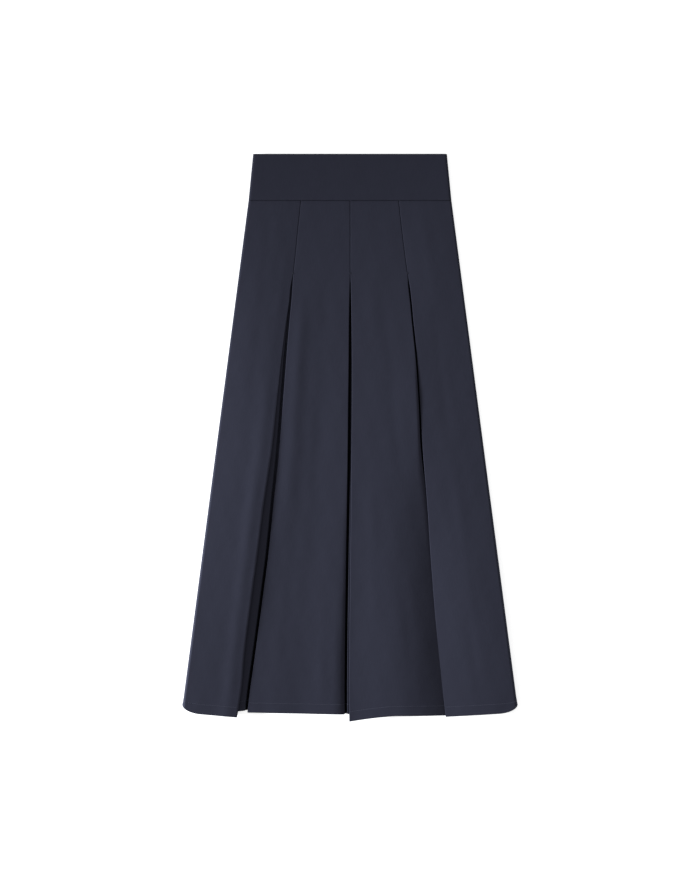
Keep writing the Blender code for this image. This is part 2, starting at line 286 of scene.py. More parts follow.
WAVES = (
    # waves across and along each metre, phase, height in mm
    (21, 6, 0.4, 0.040),
    (34, -9, 1.9, 0.028),
    (13, 17, 3.1, 0.035),
    (52, 23, 4.4, 0.014),
    (27, 41, 5.2, 0.012),
)


def unevenness(across, drop):
    """The height of the dents and the waviness at a place."""
    height = np.zeros(np.broadcast(across, drop).shape)
    for place, down, reach, length, lean, lift in DENTS:
        along = (drop - down * MM) / (length * MM)
        side = (across - place * MM - lean * (drop - down * MM)) / (reach * MM)
        height = height + lift * MM * np.exp(-along ** 2 - side ** 2)
    for wide, long, phase, lift in WAVES:
        height = height + lift * MM * np.sin(2 * math.pi * (wide * across + long * drop) + phase)
    return height


print(len(DENTS), "dents and", len(WAVES), "slow waves")

# %% [markdown]
# ## Sections
# A section is the line that the cloth follows across the skirt. A front panel's section starts with
# the cloth turned in behind its first edge, goes round the pressed fold, crosses the face, and ends
# with its other fold, or with the roll over the side of the tube. Each stretch gives one column of
# points for each of its places, at every row's drop.

# %% Parts of a section
RETURN_STEPS = 7  # points across the cloth turned in behind a pleat edge
FOLD_STEPS = 9  # points round its fold
ROLL_STEPS = 9  # points round the roll at a side
FACE_STEPS = 82  # stretches across a panel's face


def half_width(drop):
    """From the skirt's middle to the side seam, below the waistband."""
    return SEAM_HALF + SIDE_SLOPE * (drop - BAND_DEPTH)


def return_width(drop):
    """How far the cloth turns in behind a pleat edge."""
    share = np.clip((drop - BAND_DEPTH) / (HEM_DROP - BAND_DEPTH), 0, 1)
    return RETURN_WIDTH[0] + (RETURN_WIDTH[1] - RETURN_WIDTH[0]) * share


def pleat_edge(edge, drop, inward):
    """From the turned-in raw edge to the top of the fold. drop holds one column for each point."""
    across = edge_across(edge, drop) + inward * (CLOTH / 2 + SEAM_GAP / 2 + FOLD_RADIUS)
    top = bound_top(edge, drop)
    back = np.linspace(1, 0, RETURN_STEPS, endpoint=False)
    turn = np.linspace(-math.pi / 2, math.pi / 2, FOLD_STEPS)
    share = np.concatenate((back, np.zeros(FOLD_STEPS)))
    angle = np.concatenate((np.full(RETURN_STEPS, -math.pi / 2), turn))
    behind = top - 2 * FOLD_RADIUS
    sink = (behind - RETURN_LEVEL) * smooth(share)
    x = across + inward * (return_width(drop) * share - FOLD_RADIUS * np.cos(angle))
    z = top - FOLD_RADIUS + FOLD_RADIUS * np.sin(angle) - sink
    return x, z


def side_roll(drop, level, apex, side, cloth=CLOTH, half=half_width):
    """From the flat cloth out and round to the side seam."""
    end = apex + math.copysign(SIDE_UPRIGHT, float(np.mean(level)) - apex)
    angle = np.linspace(0, math.pi / 2, ROLL_STEPS)
    middle = half(drop[:, :-1]) - cloth / 2 - SIDE_ROLL
    x = middle + SIDE_ROLL * np.sin(angle)
    z = np.broadcast_to(end + (level - end) * np.cos(angle), x.shape)
    last = half(drop[:, -1:]) - cloth / 2
    return side * np.hstack((x, last)), np.hstack((z, np.full_like(last, apex)))


def flipped(part):
    """The same stretch of a section, taken from its other end."""
    return part[0][:, ::-1], part[1][:, ::-1]


EDGE_COLUMNS, SIDE_COLUMNS = RETURN_STEPS + FOLD_STEPS, ROLL_STEPS + 1
print("a panel's section has up to", 2 * EDGE_COLUMNS + FACE_STEPS - 1, "points")

# %% A front panel's section
SOLID_BACK_LEVEL = 0.6 * MM  # the middle of the back's solid, which is thicker than this cloth
FRONT_APEX = (SOLID_BACK_LEVEL + FACE_LEVEL) / 2 + SEAM_GAP / 2  # where the front ends at the side seam
EVEN_SHARE, CROWDED_SHARE = 0.45, 0.55
print("the front ends", round(FRONT_APEX / MM, 2), "mm above the floor at the side seams")


def face_shares(steps):
    """Places across a face, closer together towards both ends."""
    even = np.linspace(0, 1, steps + 1)[1:-1]
    crowded = (1 - np.cos(math.pi * even)) / 2
    return EVEN_SHARE * even + CROWDED_SHARE * crowded


def front_section(panel, drop):
    """x and z of every point; drop has a row for each row and a column for each point."""
    right, left = PANELS[panel]
    ends = []
    for bound, inward in ((right, 1), (left, -1)):
        count = EDGE_COLUMNS if bound in EDGES else SIDE_COLUMNS
        part = drop[:, :count] if inward == 1 else drop[:, ::-1][:, :count]
        if bound not in EDGES:
            level = bound_top(bound, part[:, 1:])
            ends.append(flipped(side_roll(part, level, FRONT_APEX, -inward)))
        else:
            ends.append(pleat_edge(bound, part, inward))
    start, end = ends[0], flipped(ends[1])
    share = face_shares(FACE_STEPS)
    middle = drop[:, start[0].shape[1]:drop.shape[1] - end[0].shape[1]]
    x = start[0][:, -1:] + (end[0][:, :1] - start[0][:, -1:]) * share
    z = start[1][:, -1:] + (end[1][:, :1] - start[1][:, -1:]) * share
    low, high = swell(panel, 0.0, middle), swell(panel, 1.0, middle)
    z = z + swell(panel, share, middle) - (low + (high - low) * share)
    x, z = np.hstack((start[0], x, end[0])), np.hstack((start[1], z, end[1]))
    lifted = unevenness(x, drop)
    if right not in EDGES:
        lifted[:, :SIDE_COLUMNS] *= np.linspace(0, 1, SIDE_COLUMNS)
    if left not in EDGES:
        lifted[:, -SIDE_COLUMNS:] *= np.linspace(1, 0, SIDE_COLUMNS)
    return x, z + lifted


# %% How many points a front panel's section has
HEM_INSET = 3  # the turned-up hem starts this many points away from a pleat edge


def front_columns(panel):
    """The number of points in a section, and the first and last of those that turn up at the hem."""
    counts = [EDGE_COLUMNS if bound in EDGES else SIDE_COLUMNS for bound in PANELS[panel]]
    total = sum(counts) + FACE_STEPS - 1
    insets = [count + HEM_INSET if bound in EDGES else 1 for bound, count in zip(PANELS[panel], counts)]
    return total, insets[0], total - 1 - insets[1]


for panel in PANELS:
    print(panel, "has", front_columns(panel)[0], "points across")

# %% [markdown]
# ## Hem lines
# No two panels of a laid-out skirt end at quite the same height: one hangs lower at one end, and the
# sides end in a soft rounded corner. A hem line gives the drop at each place across. The rows above
# it follow it more and more closely, so that the stitching runs level with the edge.

# %% Hem lines
FRONT_HEMS = {
    # the drop in mm at the right end and at the left end
    "front_panel_right_side": (891.5, 899.2),
    "front_panel_right_centre": (891.9, 895.2),
    "front_panel_left_centre": (905.6, 896.5),
    "front_panel_left_side": (898.7, 891.5),
}
UNDERLAY_HEMS = {"right": (892, 886.5), "centre": (893.5, 895), "left": (891, 891)}
BACK_HEM = 886 * MM
SWUNG_PANEL = "front_panel_left_centre"  # hangs lowest at the centre pleat and swings up from there
SWUNG_REACH, SWUNG_POWER = 75 * MM, 1.4
CORNER_REACH = 30 * MM  # how far from the side seam the corner starts to rise
FRONT_CORNER, BACK_CORNER = 12.5 * MM, 9 * MM  # how far it rises


def corner_rise(across, rise):
    """How far the rounded corner has risen at each point of the first row of the hem."""
    distance = half_width(HEM_DROP) - CLOTH / 2 - np.abs(across)
    share = 1 - np.clip(distance / CORNER_REACH, 0, 1)
    return rise * (1 - np.sqrt(1 - share * share))


def front_hem(panel, across):
    """The drop of a front panel's hem at each place across."""
    right, left = PANELS[panel]
    low, high = (float(edge_across(name, HEM_DROP)) if name in EDGES else half_width(HEM_DROP) * sign
                 for name, sign in ((right, -1), (left, 1)))
    share = np.clip((across - low) / (high - low), 0, 1)
    if panel == SWUNG_PANEL:
        share = 1 - (1 - np.clip((across - low) / SWUNG_REACH, 0, 1)) ** SWUNG_POWER
    start, end = FRONT_HEMS[panel]
    return (start + (end - start) * share) * MM


hem_drops = [drop for ends in FRONT_HEMS.values() for drop in ends]
print("the front's hem lies between", min(hem_drops), "and", max(hem_drops), "mm down")

# %% [markdown]
# ## Rows
# The rows lie a few millimetres apart down the body of the skirt, and closer where something small
# happens: where the panel sinks in at the waistband, and at the hem. At the hem the rows go round a
# small fold and back up on the inside, as the real turned-up hem does.

# %% Rows down a panel
DIP_ROWS = (-0.17, 0, 0.15, 0.35, 0.6, 0.9, 1.3, 1.8, 2.5, 3.5, 5)  # in mm below the waist seam
BODY_START, BODY_END, BODY_PITCH = 9 * MM, 866 * MM, 5.6 * MM
STITCH_ROWS = (870, 873.5, 876, 877.6, 878.4, 878.9, 879.2, 879.5, 879.8, 880.2, 880.8, 882)
EDGE_ROWS = (884.5, 887.5, 890, 892, 893.4, 894.2)  # the drops in mm, as in STITCH_ROWS
HEM_FOLD = 0.45 * MM  # the radius of the hem's fold
HEM_STEPS = 9  # points round it
INSIDE_ROWS = (2, 5, 9, 13, 16.5)  # in mm above the hem's edge, on the inside


def body_rows():
    """The drops of the rows from the waist seam to just above the hem's edge."""
    dip = [BAND_DEPTH + step * MM for step in DIP_ROWS]
    body = np.arange(BAND_DEPTH + BODY_START, BODY_END, BODY_PITCH).tolist()
    return dip + body + [drop * MM for drop in STITCH_ROWS + EDGE_ROWS]


def hem_rows():
    """Drop and inward depth of the rows that go round the hem and back up inside."""
    rows = []
    for angle in np.linspace(0, math.pi, HEM_STEPS):
        rows.append((HEM_DROP - HEM_FOLD + HEM_FOLD * math.sin(angle), HEM_FOLD * (1 - math.cos(angle))))
    for rise in INSIDE_ROWS:
        rows.append((HEM_DROP - rise * MM, 2 * HEM_FOLD))
    return rows


def panel_rows(columns):
    """Drop and inward depth of all the rows of a hemmed panel, with a column for each point."""
    down, round_hem = body_rows(), hem_rows()
    rows = np.array(down + [drop for drop, _ in round_hem])
    depth = np.array([0.0] * len(down) + [deep for _, deep in round_hem])
    return rows[:, None] * np.ones(columns), depth[:, None] * np.ones(columns)


BODY_COUNT = len(body_rows())
print(BODY_COUNT, "rows down each body panel and", len(hem_rows()), "round its hem")

# %% How the rows follow the hem
TURN_UP = 15.5 * MM  # from the hem's edge up to the line of stitches
FOLLOW_START, FOLLOW_REACH = 700 * MM, 165 * MM  # the rows come to follow the hem over this stretch
CORNER_FADE = 24 * MM  # above the edge, where the rows no longer follow the rounded corner
CORNER_POWER = 1.2


def follow_hem(rows, hem, corner):
    """The true drop of each point: rows near the hem follow its line, and the last ones its corner."""
    ramp = smooth((rows - FOLLOW_START) / FOLLOW_REACH)
    near = np.clip(1 - (HEM_DROP - rows) / CORNER_FADE, 0, 1) ** CORNER_POWER
    return rows + (hem - HEM_DROP) * ramp - corner * near


print("the hem's stitches run", round(TURN_UP / MM, 1), "mm above its edge")

# %% [markdown]
# ## From rows to cloth
# A grid of points becomes a mesh of four-sided faces, and the Solidify modifier gives it the
# thickness of cloth, evenly on both sides. The mesh also gets a map in metres, across and along the
# cloth, so that the weave keeps its true size and runs with each panel. The last thing it gets is a
# painted shade, 1 on the open cloth and less in three places that the scene's own light would leave
# too bright: deep inside a pleat, on the cloth turned in behind an edge, and in the ditch under the
# waistband. There the colour is darkened to stand in for shadow.

# %% A sheet of cloth from a grid of points
def inward_offset(x, z, depth, sign):
    """Moves points off the cloth's line by depth; sign is -1 towards the floor and +1 away from it."""
    run, rise = np.gradient(x, axis=1), np.gradient(z, axis=1)
    length = np.hypot(run, rise)
    return x - sign * depth * rise / length, z + sign * depth * run / length


def cloth_sheet(name, x, drop, z, keep=None, cloth=CLOTH, painted_shade=None):
    """A sheet through a grid of points. keep says, for each face of the grid, whether it is there."""
    rows, columns = x.shape
    points = np.stack((x, TOP_Y - drop, z), axis=-1).reshape(-1, 3)
    corner = np.arange(rows - 1)[:, None] * columns + np.arange(columns - 1)[None, :]
    quads = np.stack((corner, corner + columns, corner + columns + 1, corner + 1), axis=-1)
    keep = np.ones(corner.shape, bool) if keep is None else keep
    quads = quads[keep]
    used = np.unique(quads)
    renumbered = np.zeros(len(points), int)
    renumbered[used] = np.arange(len(used))
    mesh = bpy.data.meshes.new(name)
    mesh.from_pydata(points[used].tolist(), [], renumbered[quads].tolist())
    mesh.update()
    across = np.hypot(np.diff(x, axis=1), np.diff(z, axis=1)).cumsum(axis=1)
    across = np.hstack((np.zeros((rows, 1)), across))
    across = across - across[:, columns // 2][:, None]
    metric = np.stack((across, -drop), axis=-1).reshape(-1, 2)[used]
    corners = np.zeros(len(mesh.loops), int)
    mesh.loops.foreach_get("vertex_index", corners)
    layer = mesh.uv_layers.new(name="cloth")
    layer.data.foreach_set("uv", metric[corners].astype(np.float32).ravel())
    # painted shade: 1 leaves the colour as it is, less darkens it where the scene's light alone would
    # leave the cloth too bright
    painted_shades = np.ones(x.shape) if painted_shade is None else painted_shade
    value = mesh.attributes.new("painted_shade", "FLOAT", "POINT")
    value.data.foreach_set("value", painted_shades.reshape(-1)[used].astype(np.float32))
    mesh.shade_smooth()
    piece = bpy.data.objects.new(name, mesh)
    bpy.context.scene.collection.objects.link(piece)
    thick = piece.modifiers.new("cloth thickness", "SOLIDIFY")
    thick.thickness = cloth
    thick.offset = 0
    thick.use_even_offset = True
    thick.use_rim = True
    return piece

# %% [markdown]
# ## The finishes
# The cloth is a dark navy twill suiting: fine diagonal ribs 0.6 mm apart, a matt face with a slight
# sheen, and a colour that changes a little from yarn to yarn. A painted pattern would blur close up.
# The ribs and yarns are made from the metric map with sines instead, which keeps them crisp and even,
# and noise bends them a little. The same values feed the bump and the colour: the colour carries a
# painted shade in the gaps between the ribs, so that their tops are lighter.

# %% Helpers for a material's nodes
def node(tree, kind, **settings):
    made = tree.nodes.new(kind)
    for key, value in settings.items():
        setattr(made, key, value)
    return made


def feed(tree, socket, value):
    """Sets a socket to a number or a colour, or links it to another node's output."""
    if isinstance(value, (int, float, tuple)):
        socket.default_value = value
    else:
        tree.links.new(value, socket)


def maths(tree, operation, *values):
    made = node(tree, "ShaderNodeMath", operation=operation)
    for socket, value in zip(made.inputs, values):
        feed(tree, socket, value)
    return made.outputs[0]


def noise(tree, vector, scale, detail=2.0, rough=0.5):
    made = node(tree, "ShaderNodeTexNoise")
    for name, value in (("Scale", scale), ("Detail", detail), ("Roughness", rough), ("Vector", vector)):
        feed(tree, made.inputs[name], value)
    return made.outputs["Fac"]


def mixed(tree, share, first, second):
    """A colour between two others."""
    made = node(tree, "ShaderNodeMix", data_type="RGBA")
    for number, value in ((0, share), (6, first), (7, second)):
        feed(tree, made.inputs[number], value)
    return made.outputs[2]


def bumped(tree, height, strength, relief):
    """Surface relief from a height; relief is how far a height of 1 stands out."""
    made = node(tree, "ShaderNodeBump")
    for name, value in (("Strength", strength), ("Distance", relief), ("Height", height)):
        feed(tree, made.inputs[name], value)
    return made.outputs[0]


def scaled(colour, share):
    """A darker or lighter value of a colour."""
    return tuple(share * channel for channel in colour[:3]) + (1.0,)


def new_finish(name):
    """A new material, its nodes and its shader."""
    material = bpy.data.materials.new(name)
    material.use_nodes = True
    return material, material.node_tree, material.node_tree.nodes["Principled BSDF"]


# %% Twill suiting
RIB_PITCH, RIB_SLANT = 0.62 * MM, 0.62
YARN_PITCH = 0.71 * RIB_PITCH
YARN_HEIGHT = 0.35  # of a rib's
WEAVE_GAIN, WEAVE_MIDDLE = 0.37, 0.5  # bring the height of the weave to between 0 and 1
SWAY, SWAY_SCALE = 0.9 * MM, 70.0  # how far the ribs wander; scales of noise are in features a metre
FIBRE_SCALE, STREAK_SCALE, CLOUD_SCALE = 1900.0, 620.0, 14.0
STREAK_STRETCH = 0.12  # streaks run along the cloth, so their noise is drawn out that way
# the weave's share is painted shade: the gaps between the ribs are darker than their tops
STREAK_TONE, FIBRE_TONE, WEAVE_PAINTED_SHADE = 0.45, 0.35, 0.20  # how much each tells in the colour
CLOUD_GAIN, CLOUD_LOW = 0.5, 0.15  # how far the colour goes back to the plain navy
# painted shade: the cloth's colour falls to this share where its painted shade is 0
DEEPEST_PAINTED_SHADE = 0.04  # how much of its colour the cloth keeps where its shade is 0
ROUGH_GAIN, ROUGH_LOW = 0.16, 0.68
GLOSS, SHEEN, SHEEN_ROUGHNESS = 0.03, 0.03, 0.45
SHEEN_BLUE = (0.75, 0.80, 1.0, 1.0)
FIBRE_HEIGHT, BUMP_STRENGTH = 0.5, 0.55


def woven(tree, uv):
    """The height of the weave: slanting ribs, crossed by finer yarns."""
    split = node(tree, "ShaderNodeSeparateXYZ")
    tree.links.new(uv, split.inputs[0])
    sway = maths(tree, "MULTIPLY", noise(tree, uv, SWAY_SCALE), SWAY)
    across = maths(tree, "ADD", split.outputs[0], sway)
    along = split.outputs[1]
    diagonal = maths(tree, "MULTIPLY_ADD", along, RIB_SLANT, across)
    ribs = maths(tree, "SINE", maths(tree, "MULTIPLY", diagonal, 2 * math.pi / RIB_PITCH))
    yarns = maths(tree, "SINE", maths(tree, "MULTIPLY", along, 2 * math.pi / YARN_PITCH))
    weave = maths(tree, "MULTIPLY_ADD", yarns, YARN_HEIGHT, ribs)
    return maths(tree, "MULTIPLY_ADD", weave, WEAVE_GAIN, WEAVE_MIDDLE)


def streaked(tree, uv):
    """Noise drawn out along the cloth."""
    slubs = node(tree, "ShaderNodeMapping")
    slubs.inputs["Scale"].default_value = (1.0, STREAK_STRETCH, 1.0)
    tree.links.new(uv, slubs.inputs["Vector"])
    return noise(tree, slubs.outputs[0], STREAK_SCALE, detail=2.0, rough=0.6)


def twill(name, base, light, dark, relief=0.05 * MM):
    """Navy suiting. base, light and dark are the colours of the yarns."""
    material, tree, shader = new_finish(name)
    uv = node(tree, "ShaderNodeUVMap", uv_map="cloth").outputs[0]
    weave = woven(tree, uv)
    fibres = noise(tree, uv, FIBRE_SCALE, detail=3.0, rough=0.6)
    cloudy = noise(tree, uv, CLOUD_SCALE, detail=3.0, rough=0.55)
    tone = maths(tree, "MULTIPLY", fibres, FIBRE_TONE)
    tone = maths(tree, "MULTIPLY_ADD", streaked(tree, uv), STREAK_TONE, tone)
    tone = maths(tree, "MULTIPLY_ADD", weave, WEAVE_PAINTED_SHADE, tone)
    colour = mixed(tree, tone, dark, light)
    colour = mixed(tree, maths(tree, "MULTIPLY_ADD", cloudy, CLOUD_GAIN, CLOUD_LOW), colour, base)
    # the painted shade stored on the mesh darkens the colour, standing in for shadow
    painted_shade = node(tree, "ShaderNodeAttribute", attribute_name="painted_shade").outputs["Fac"]
    height = maths(tree, "MULTIPLY_ADD", fibres, FIBRE_HEIGHT, weave)
    feed(tree, shader.inputs["Base Color"], mixed(tree, painted_shade, scaled(base, DEEPEST_PAINTED_SHADE), colour))
    feed(tree, shader.inputs["Roughness"], maths(tree, "MULTIPLY_ADD", fibres, ROUGH_GAIN, ROUGH_LOW))
    feed(tree, shader.inputs["Normal"], bumped(tree, height, BUMP_STRENGTH, relief))
    for name, value in (("Specular IOR Level", GLOSS), ("Sheen Weight", SHEEN),
                        ("Sheen Roughness", SHEEN_ROUGHNESS), ("Sheen Tint", SHEEN_BLUE)):
        feed(tree, shader.inputs[name], value)
    return material


# %% Three weights of navy
NAVY = (0.0319, 0.0326, 0.0486, 1.0)
NAVY_LIGHT = (0.0425, 0.0442, 0.0665, 1.0)
NAVY_DARK = (0.0208, 0.0217, 0.0330, 1.0)
# Painted shade: the strips behind the pleats and the waistband get darker copies of the navy, standing in
# for the lower light there.
PLEAT_SHARE, BAND_SHARE = 0.96, 0.92  # the pleats and the waistband are a little darker
FACE_TWILL = twill("navy_twill_face", NAVY, NAVY_LIGHT, NAVY_DARK)
PLEAT_TWILL = twill("navy_twill_pleat", scaled(NAVY, PLEAT_SHARE), NAVY_LIGHT, NAVY_DARK)
BAND_TWILL = twill("navy_twill_waistband", scaled(NAVY, BAND_SHARE), scaled(NAVY_LIGHT, BAND_SHARE),
                   NAVY_DARK, relief=0.04 * MM)
print("made", FACE_TWILL.name, PLEAT_TWILL.name, BAND_TWILL.name)

# %% [markdown]
# ## The front panels
# The four panels are one shape with different bounds: a pleat edge or the side of the tube. The cloth
# sinks a little where it meets the waistband, small puckers stand along the stitched seams, and a
# shallow groove with a step below it marks where the hem's stitches draw the cloth in. All of these
# are added to the heights of the grid, because a bump in the finish would not change the outline.

# %% What the seams and the hem do to the face
WAIST_DIP, DIP_REACH, DIP_POWER = 1.1 * MM, 1.5 * MM, 1.3  # the face sinks at the waistband
RIPPLE, RIPPLE_REACH = 0.035 * MM, 16 * MM  # the ease that the waist seam holds in
RIPPLE_WAVE = (17 * MM, 3, 60)  # a wave's pitch, and how far and how fast it wanders
PUCKER, PUCKER_REACH = 0.045 * MM, 5 * MM  # small waves beside a stitched pleat
PUCKER_WAVE = (7.5 * MM, 2.2, 90)
SEAM_DIP, SEAM_DIP_REACH = 0.10 * MM, 1.0 * MM  # the thread draws the cloth down beside a stitched seam
CLOSED_PAST, CLOSED_FADE = 10 * MM, 30 * MM  # puckers and dip end this far below the release
GROOVE, GROOVE_REACH = 0.16 * MM, 0.9 * MM  # the line of the hem's stitches
STEP, STEP_REACH, STEP_START = 0.10 * MM, 2.5 * MM, 0.4  # the doubled cloth below it stands higher


def uneven_wave(place, pitch, wander, haste):
    """A wave whose pitch wanders, as small puckers do."""
    return np.sin(2 * math.pi * place / pitch + wander * np.sin(place * haste))


def surface_details(panel, x, drop, rows):
    """Heights for the dip at the waistband, the puckers by the seams and the line of the hem."""
    below = rows - BAND_DEPTH
    height = -WAIST_DIP * np.exp(-((np.maximum(below, 0) / DIP_REACH) ** DIP_POWER))
    height = height + RIPPLE * (uneven_wave(x, *RIPPLE_WAVE) * np.exp(-below / RIPPLE_REACH))
    for bound in PANELS[panel]:
        if bound in EDGES:
            distance = np.abs(x - edge_across(bound, drop))
            closed = smooth((RELEASE_DROP + CLOSED_PAST - drop) / CLOSED_FADE)
            wave = uneven_wave(drop, *PUCKER_WAVE)
            height = height + PUCKER * wave * closed * np.exp(-distance / PUCKER_REACH)
            height = height - SEAM_DIP * closed * np.exp(-distance / SEAM_DIP_REACH)
    above = HEM_DROP - TURN_UP - rows
    groove = -GROOVE * np.exp(-((above / GROOVE_REACH) ** 2))
    step = STEP * smooth(-above / STEP_REACH + STEP_START)
    return height + groove + step


print("puckers every", round(PUCKER_WAVE[0] / MM, 1), "mm beside the stitched pleats")

# %% The grid of a front panel
def pulled_in(x, z, depth, sign):
    """Moves the rows inside the hem, or inside the waistband, off the cloth's line by their depth."""
    moved_x, moved_z = inward_offset(x, z, depth, sign)
    return np.where(depth > 0, moved_x, x), np.where(depth > 0, moved_z, z)


def front_grid(panel):
    """The grid of a front panel: x, drop and z of its points, and which faces are there."""
    total, first, last = front_columns(panel)
    rows, depth = panel_rows(total)
    x, _ = front_section(panel, rows)
    at_hem = np.broadcast_to(x[BODY_COUNT], x.shape)
    drop = follow_hem(rows, front_hem(panel, at_hem), corner_rise(at_hem, FRONT_CORNER))
    x, z = front_section(panel, drop)
    z = z + surface_details(panel, x, drop, rows)
    x, z = pulled_in(x, z, depth, -1)
    keep = np.ones((len(rows) - 1, total - 1), bool)
    inside = BODY_COUNT + HEM_STEPS // 2
    keep[inside:, :first] = False
    keep[inside:, last:] = False
    return x, drop, z, keep


# %% The four front panels
# Painted shade: a narrow strip just under the waist seam is darkened, standing in for the shadow in the
# ditch.
DITCH, DITCH_PAINTED_SHADE = 0.6 * MM, 0.8  # the seam under the waistband is a narrow dark ditch
# Painted shade: the cloth turned in behind a pleat edge is darkened, easing back to full colour round the
# fold.
TURNED_IN_PAINTED_SHADE = 0.25
turned_in = np.full(RETURN_STEPS, TURNED_IN_PAINTED_SHADE)
FOLD_PAINTED_SHADES = np.concatenate((turned_in, np.linspace(TURNED_IN_PAINTED_SHADE, 1, FOLD_STEPS)))


def face_painted_shades(panel, rows):
    """The painted shade of each point of a front panel."""
    painted_shades = 1 - DITCH_PAINTED_SHADE * np.exp(-((np.maximum(rows - BAND_DEPTH, 0) / DITCH) ** 2))
    right, left = PANELS[panel]
    if right in EDGES:
        painted_shades[:, :EDGE_COLUMNS] = FOLD_PAINTED_SHADES
    if left in EDGES:
        painted_shades[:, -EDGE_COLUMNS:] = FOLD_PAINTED_SHADES[::-1]
    return painted_shades


panels, grids = {}, {}
for panel in PANELS:
    x, drop, z, keep = front_grid(panel)
    grids[panel + "_cloth"] = (x, drop, z)
    rows, _ = panel_rows(x.shape[1])
    piece = cloth_sheet(panel + "_cloth", x, drop, z, keep, painted_shade=face_painted_shades(panel, rows))
    piece.data.materials.append(FACE_TWILL)
    panels[panel] = piece
    print(panel, x.shape, "its hem reaches", round(float(drop.max()) / MM, 1), "mm down")

# %% [markdown]
# ## The cloth behind the pleats
# Behind each pair of edges lies a flat strip that joins the turned-in cloth on both sides. At the
# right and the centre pleat, what shows of it isn't level: in the opening it leans up towards one edge
# and dives under the other. That makes the thin black line beside a pleat, with painted shade on the
# strip's deep part to darken it further. The left strip lies level, and painted shade darkens it all
# over.

# %% Pleat underlays
PLEATS = {
    "right": ("right_outer", "right_inner"),
    "centre": ("centre_right", "centre_left"),
    "left": ("left_inner", "left_outer"),
}
UNDERLAY_SLOPES = {
    # height in mm by the first edge and by the second, the width in mm of the deep part, and the
    # painted shades of that part and of the rest
    "right": (7.6, 1.0, 4.4, 0.04, 1.0),
    "centre": (1.0, 6.5, 4.0, 0.04, 0.5),
    "left": (1.8, 1.8, 4.0, 0.10, 0.10),
}
# Towards its top the right pleat is shallow, so its deep part goes back to the full colour there, which
# any painted shade of 1 or more gives.
PLEAT_TOP_PAINTED_SHADE = {"right": 1.1, "centre": 0.04, "left": 0.10}
PLEAT_TOP_END, PLEAT_TOP_FADE = 680 * MM, 260 * MM
LEAN_START, PAINTED_SHADE_START, DEEP_FADE = 0.75, 0.7, 0.5  # in widths of the deep part
FULLY_OPEN = 5 * MM  # the width of opening at which a strip leans in full
HEM_CLEARANCE = 1.9  # in mm: the turned-up hem has to fit between the strip and the back panel
CLEARANCE_START, CLEARANCE_REACH = 850 * MM, 25 * MM
UNDER_FOLD = 1.2  # in mm: a strip stays this far below the cloth turned in behind the higher edge
EASE_REACH = 9 * MM  # past the opening, the strip eases down to its own level
UNDERLAY_SIDE, UNDERLAY_MIDDLE = 14, 40  # points across each hidden side, and across the middle
flattest, steepest = sorted(UNDERLAY_SLOPES["right"][:2])
print("the right strip leans between", flattest, "and", steepest, "mm")

# %% The grid of a strip
def underlay_drop(pleat, place, rows):
    """The true drop of each point, from the strip's own hem line."""
    start, end = UNDERLAY_HEMS[pleat]
    hem = (start + (end - start) * np.clip((place + 1) / 3, 0, 1)) * MM
    return follow_hem(rows, hem, 0 * rows)


def underlay_span(pleat, drop):
    """Where the middle stretch starts and ends, a little way under each edge, and how far under."""
    first, second = PLEATS[pleat]
    reach = CLOTH + FOLD_RADIUS
    low, high = edge_across(first, drop) - reach, edge_across(second, drop) + reach
    middle, half = (low + high) / 2, np.maximum((high - low) / 2, reach)
    return middle - half, middle + half, reach


def underlay_lean(pleat, drop, from_deep):
    """How high the strip stands, in mm, at a distance from the deep side of the opening."""
    near, far, wide, _, _ = UNDERLAY_SLOPES[pleat]
    raised = smooth((from_deep - LEAN_START * wide * MM) / (DEEP_FADE * wide * MM))
    clear = HEM_CLEARANCE * smooth((drop - CLEARANCE_START) / CLEARANCE_REACH)
    deepest = np.maximum(min(near, far), clear)
    lip = deepest + (max(near, far) - deepest) * raised
    folds = np.maximum(*(bound_top(edge, drop) for edge in PLEATS[pleat]))
    room = folds / MM - 2 * FOLD_RADIUS / MM - UNDER_FOLD
    return np.minimum(lip, np.maximum(room, UNDERLAY_LEVEL / MM))


def underlay_painted_shades(pleat, drop, from_deep):
    """The painted shade of each point of the strip, darkest on the deep side of the opening."""
    _, _, wide, dark, light = UNDERLAY_SLOPES[pleat]
    dark = dark + (PLEAT_TOP_PAINTED_SHADE[pleat] - dark) * smooth((PLEAT_TOP_END - drop) / PLEAT_TOP_FADE)
    lit = smooth((from_deep - PAINTED_SHADE_START * wide * MM) / (DEEP_FADE * wide * MM))
    return dark + (light - dark) * lit


def underlay_grid(pleat):
    """x, drop, z and shade of every point of the strip behind a pleat."""
    side = np.linspace(-1, 0, UNDERLAY_SIDE, endpoint=False)
    place = np.concatenate((side, np.linspace(0, 1, UNDERLAY_MIDDLE), 1 - side[::-1]))
    rows, depth = panel_rows(len(place))
    drop = underlay_drop(pleat, place, rows)
    low, high, reach = underlay_span(pleat, drop)
    outside = (np.maximum(-place, 0) + np.maximum(place - 1, 0)) * return_width(drop)
    x = low + (high - low) * np.clip(place, 0, 1) + np.where(place > 0.5, outside, -outside)
    near, far = UNDERLAY_SLOPES[pleat][:2]
    from_deep = (high - reach - x) if near > far else (x - low - reach)
    opened = smooth((high - low - 2 * reach) / FULLY_OPEN)
    ease = np.exp(-((outside / EASE_REACH) ** 2))
    lip = underlay_lean(pleat, drop, from_deep)
    z = UNDERLAY_LEVEL + (lip * MM - UNDERLAY_LEVEL) * opened * ease
    return x, drop, z - depth, underlay_painted_shades(pleat, drop, from_deep)


